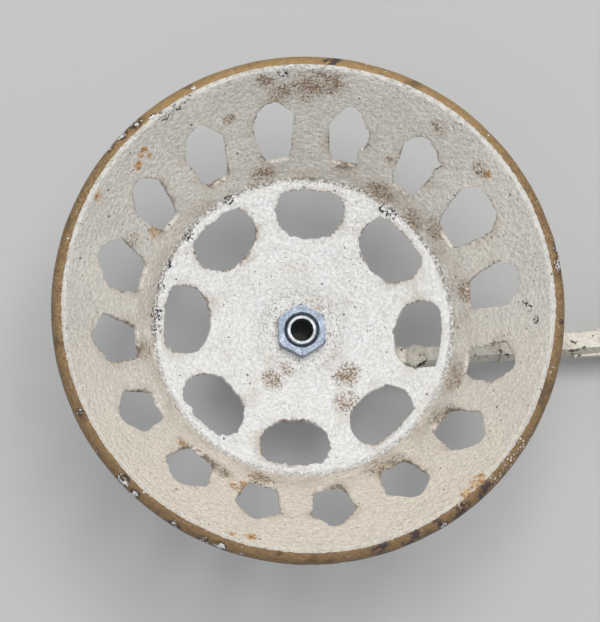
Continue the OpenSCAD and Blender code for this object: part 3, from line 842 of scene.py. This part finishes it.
def hand_cut(point, seed, away):
    """How far a hand-cut edge strays outwards at a point, in millimetres: slow waves, ripples and nicks."""
    across, up, depth = CHIPPED.get(seed, (0.0, 0.0, 0.0))
    facing = max(0.0, across * away[0] + up * away[1])
    chips = uneven(point, seed, 2.3, 0.34) * depth * min(1.0, 1.6 * facing)
    waves = uneven(point, seed, 7.3, 0.13) * 0.9
    ripples = uneven(point, seed, 3.1, 0.6) * 0.35
    nicks = max(0.0, uneven(point, seed, 5.7, 0.28) - 0.28) * 5.0
    return waves + ripples + chips + min(nicks, 1.3)


EDGE_ROUND = 0.8
NEAR_CUT = 2.2
# Rings from the middle of a window's cut edge outwards: distance from the cut, and depth below the surface.
# None is the middle of the wall.
CUT_RINGS = [
    (0.0, None),
    (0.0, EDGE_ROUND),
    (0.25 * EDGE_ROUND, 0.28 * EDGE_ROUND),
    (EDGE_ROUND, 0.0),
    (NEAR_CUT, 0.0),
]
# Rings beyond those, as shares of the way to the sector's border
OUTER_RINGS = [0.35, 0.6, 0.82, 1.0]


def sector_border(half, low, high, columns, rows):
    """The outline of a window's sector, anticlockwise from its lower corner on the clockwise side."""
    across, up = np.linspace(-half, half, columns + 1), np.linspace(low, high, rows + 1)
    bottom = [(x, low) for x in across[:-1]]
    right = [(half, t) for t in up[:-1]]
    top = [(x, high) for x in across[:0:-1]]
    left = [(-half, t) for t in up[:0:-1]]
    return np.array(bottom + right + top + left)


def window_patch(shell, centre_angle, middle_r, outline, border, seed):
    """One sector of the cup with a window through it: both sides, and the rounded edge between them.
    The outline and border are in millimetres across (anticlockwise) and millimetres of run."""
    radii = np.interp(outline[:, 1], RUN, LINE[:, 0])
    outline = np.stack([outline[:, 0] * middle_r / radii, outline[:, 1]], 1)
    cut = cast_rays(outline, outline.mean(axis=0), border)
    away = border - cut
    away = away / np.linalg.norm(away, axis=1)[:, None]
    cut = cut + away * np.array([hand_cut(p, seed, a) for p, a in zip(cut, away)])[:, None]
    rings = [(cut + away * out, depth) for out, depth in CUT_RINGS]
    start = cut + away * NEAR_CUT
    rings += [(start + (border - start) * share, 0.0) for share in OUTER_RINGS]
    for side in (0, 1):
        grid, facts = [], []
        for flat, depth in rings:
            wall = thickness(flat[:, 1])
            if depth is None:
                d = wall / 2
            else:
                d = wall - depth if side else depth + 0 * wall
            r, z = shell_point(flat[:, 1], d)
            angle = centre_angle + flat[:, 0] / middle_r
            grid.append(np.stack([r * np.cos(angle), r * np.sin(angle), z], 1))
            facts.append(np.stack([flat[:, 1], np.linalg.norm(flat - cut, axis=1), d / wall], 1))
        shell.add_grid(np.array(grid), np.array(facts))


# Each hand-cut wall window: left shoulder, the two ends of its tip and right shoulder, in millimetres across
# (clockwise positive) and up the wall from the crease
WALL_WINDOWS = [
    [(-16, 51), (-10, 67), (-1, 71), (10, 60)],
    [(-15, 50), (-9, 65), (-4, 71), (10, 52)],
    [(-15, 55), (-10, 67), (-3, 70), (11, 59)],
    [(-18, 56), (-12, 70), (8, 71), (14, 60)],
    [(-16, 54), (-8, 69), (4, 69), (12, 56)],
    [(-13, 53), (-1, 68), (4, 67), (13, 50)],
    [(-15, 53), (-2, 71), (4, 70), (14, 52)],
    [(-13, 56), (-4, 67), (2, 69), (15, 50)],
    [(-12, 52), (-1, 70), (5, 69), (15, 55)],
    [(-14, 54), (-1, 68), (4, 66), (14, 52)],
    [(-14, 52), (-3, 67), (4, 68), (16, 53)],
    [(-12, 53), (-3, 67), (4, 68), (16, 50)],
    [(-13, 54), (-3, 68), (3, 71), (17, 56)],
    [(-14, 53), (0, 72), (6, 70), (17, 55)],
    [(-13, 52), (-5, 68), (3, 70), (12, 54)],
    [(-15, 53), (-8, 69), (2, 72), (12, 55)],
]
FOOT_UP, FOOT_SHARE = 17, 0.5
KNEE_UP, KNEE_SHARE = 24, 0.7
FLOOR_WINDOWS = 8


def wall_outline(shape):
    """An eight-cornered window with a narrow foot and softened corners, as (across, run)."""
    left, tip_left, tip_right, right = shape
    corners = [(left[0] * FOOT_SHARE, FOOT_UP), (left[0] * KNEE_SHARE, KNEE_UP), left, tip_left,
               tip_right, right, (right[0] * KNEE_SHARE, KNEE_UP), (right[0] * FOOT_SHARE, FOOT_UP)]
    return rounded([(-across, CREASE_RUN + up) for across, up in corners], 3.0)


def floor_outline():
    """A half-moon with its flat side along the crease and softened corners, as (across, run)."""
    centre, radius, flat = CREASE_R - 14.2, 22.5, CREASE_R - 8
    corner = math.asin((flat - centre) / radius)
    arc = np.array([
        (radius * math.cos(a), SEAT_RUN + (centre + radius * math.sin(a) - SEAT_R) * FLOOR_SCALE)
        for a in np.linspace(math.pi - corner, TURN + corner, 24)])
    first, last = arc[0], arc[-1]
    into_flat = (last - first) * 0.16
    return np.concatenate([
        arc[3:-3], curve(arc[-4], last, last - into_flat, 8), curve(first + into_flat, first, arc[3], 8)])


def add_windows(shell, phase, outlines, middle_r, runs, rows, first_seed):
    """A full round of window sectors, clockwise from the phase's angle, between two runs."""
    count = len(outlines)
    border = sector_border(math.pi / count * middle_r, *runs, AROUND // count, rows)
    for k, outline in enumerate(outlines):
        angle = math.radians(90 + phase) - k * TURN / count
        window_patch(shell, angle, middle_r, outline, border, first_seed + k)


def add_hub_hole(shell, phase):
    made = [turned(0.0, depth, ring_angles(phase)) for depth in np.linspace(0, HUB_WALL, 5)]
    shell.add_grid(np.array([points for points, _ in made]), np.array([facts for _, facts in made]))


BEAD_REACH = 16.0  # how far down the wall's outer side the bead joins it
BEAD_DROP = 0.6  # how far the bead's top lies below the mouth's plane
BEAD_STEP = 1.2  # run from one of the bead's rings to the next
BEAD_UNDER = 18  # the bead's first ring that counts as the underside


def add_bead(shell, phase):
    """The rim bead, from the wall's upper edge round to its outer side."""
    start, end = shell_point(RIM_START, 0.0), shell_point(RIM_START - BEAD_REACH, WALL)
    centre_r, centre_z = RIM_R - BEAD_R, MOUTH_Z - BEAD_DROP - BEAD_R
    sweep = np.radians(np.linspace(87, -118, 26))
    arc = [(centre_r + BEAD_R * math.cos(a), centre_z + BEAD_R * math.sin(a)) for a in sweep]
    points, facts = [], []
    for k, (r, z) in enumerate([start, *arc, end]):
        points.append(ring(r, z, ring_angles(phase)))
        under = 1.0 if k >= BEAD_UNDER else 0.0
        facts.append(np.tile([RIM_START + BEAD_STEP * k, FAR_FROM_EDGE, under], (AROUND, 1)))
    shell.add_grid(np.array(points), np.array(facts))


# The runs between which the windows' sectors lie
FLOOR_LOW, FLOOR_HIGH = 47.0, 87.4
WALL_LOW, WALL_HIGH = CREASE_RUN + 10, CREASE_RUN + 80


def make_cup():
    """The whole cup as one closed mesh."""
    shell = Shell()
    wall_first = WALL_PHASE - 180 / len(WALL_WINDOWS)
    floor_first = FLOOR_PHASE - 180 / FLOOR_WINDOWS
    # The crease's first ring is a whole number of vertices round from the floor's, and closest to the wall's
    step = 360 / AROUND
    near_wall = floor_first + round((wall_first - floor_first) / step) * step
    hub_runs = np.concatenate([np.linspace(0, 24, 13), np.linspace(26, FLOOR_LOW, 9)])
    for side in (0, 1):
        add_rings(shell, hub_runs, side, floor_first, floor_first)
        add_rings(shell, np.linspace(FLOOR_HIGH, WALL_LOW, 20), side, near_wall, wall_first)
        last = RIM_START - side * BEAD_REACH
        add_rings(shell, np.linspace(WALL_HIGH, last, 12), side, wall_first, wall_first)
    floor_outlines = [floor_outline()] * FLOOR_WINDOWS
    add_windows(shell, FLOOR_PHASE, floor_outlines, 75.0, (FLOOR_LOW, FLOOR_HIGH), 20, FIRST_FLOOR_SEED)
    wall_outlines = [wall_outline(shape) for shape in WALL_WINDOWS]
    add_windows(shell, WALL_PHASE, wall_outlines, 118.5, (WALL_LOW, WALL_HIGH), 34, 0)
    add_hub_hole(shell, floor_first)
    add_bead(shell, wall_first)
    return finish_cup(shell)


# The cast surface turns uneven outside CALM_R, over CALM_FADE, and lies SINK below the CAD shape on the whole
CALM_R, CALM_FADE, SINK = 34.0, 20.0, 0.28


def finish_cup(shell):
    """Joins the shell's parts into one mesh and makes its surface slightly uneven."""
    bm = bmesh.new()
    layers = [bm.verts.layers.float.new(name) for name in FACTS]
    verts = []
    for point, facts in zip(shell.points, shell.facts):
        vert = bm.verts.new(Vector(point) * MM)
        for layer, value in zip(layers, facts):
            vert[layer] = value
        verts.append(vert)
    for face in shell.faces:
        bm.faces.new([verts[i] for i in face])
    bmesh.ops.remove_doubles(bm, verts=bm.verts, dist=0.02 * MM)
    bmesh.ops.dissolve_degenerate(bm, edges=bm.edges, dist=0.001 * MM)
    bmesh.ops.recalc_face_normals(bm, faces=bm.faces)
    bm.normal_update()
    for vert in bm.verts:
        p = vert.co / MM
        rough = min(1.0, max(0.0, (p.xy.length - CALM_R) / CALM_FADE))
        swell = noise.noise(p * 0.045) * 0.30 + noise.noise(p * 0.16) * 0.14
        vert.co += vert.normal * (swell - SINK) * rough * MM
    mesh = bpy.data.meshes.new("cast_cup")
    bm.to_mesh(mesh)
    bm.free()
    mesh.shade_smooth()
    return mesh


def add_piece(name, mesh, body, replaced, material):
    """Links a detailed mesh that rides on a body and stands for the CAD nodes in replaced."""
    piece = bpy.data.objects.new(name, mesh)
    bpy.context.scene.collection.objects.link(piece)
    mesh.materials.append(material)
    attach(piece, body)
    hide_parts(*replaced)


def round_edges(node, width):
    """Rounds a CAD node's sharp edges, by a width in millimetres."""
    bevel = node.modifiers.new("rounded", "BEVEL")
    bevel.width = width * MM
    bevel.segments = 3
    bevel.angle_limit = math.radians(35)
    bevel.harden_normals = True


# ---- Put everything together ----

make_camera()
make_stage()

# Material slot to material, and node to the width of its rounded edges
FINISHES = {
    "cream_paint": arm_paint(),
    "zinc_plate": metal("zinc_plate", rgb(0.25, 0.29, 0.35), rgb(0.17, 0.20, 0.25), 0.55),
    "bright_steel": metal("bright_steel", rgb(0.34, 0.36, 0.38), rgb(0.23, 0.24, 0.25), 0.5),
    "bearing_steel": metal("bearing_steel", rgb(0.45, 0.45, 0.46), rgb(0.30, 0.30, 0.31), 0.35),
    "brass": metal("brass", rgb(0.62, 0.44, 0.16), rgb(0.40, 0.27, 0.09), 0.35),
    "fibre": metal("fibre", rgb(0.16, 0.07, 0.035), rgb(0.09, 0.04, 0.02), 0.7),
}
ROUNDED = {
    "swing_arm": 0.9,
    "outer_arm": 0.9,
    "clamp_cap": 0.8,
    "head_bracket": 0.8,
    "bearing_housing": 0.7,
    "dust_cover": 0.4,
    "wheel_locknut": 0.25,
    "pivot_locknut": 0.2,
    "clamp_nuts": 0.2,
    "clamp_bolts": 0.2,
    "housing_bolts": 0.2,
    "housing_nuts": 0.2,
    "spindle": 0.15,
    "clamp_washers": 0.15,
    "grease_nipple": 0.1,
}
for part in frame["record"]["subparts"]:
    node = frame["nodes"][part["node"]]
    node.data.materials.clear()
    node.data.materials.append(FINISHES[part["material_slot"]])
    if part["node"] in ROUNDED:
        round_edges(node, ROUNDED[part["node"]])

add_piece("cast_cup", make_cup(), "wheel", ["wheel_cup"], CupPaint().material)
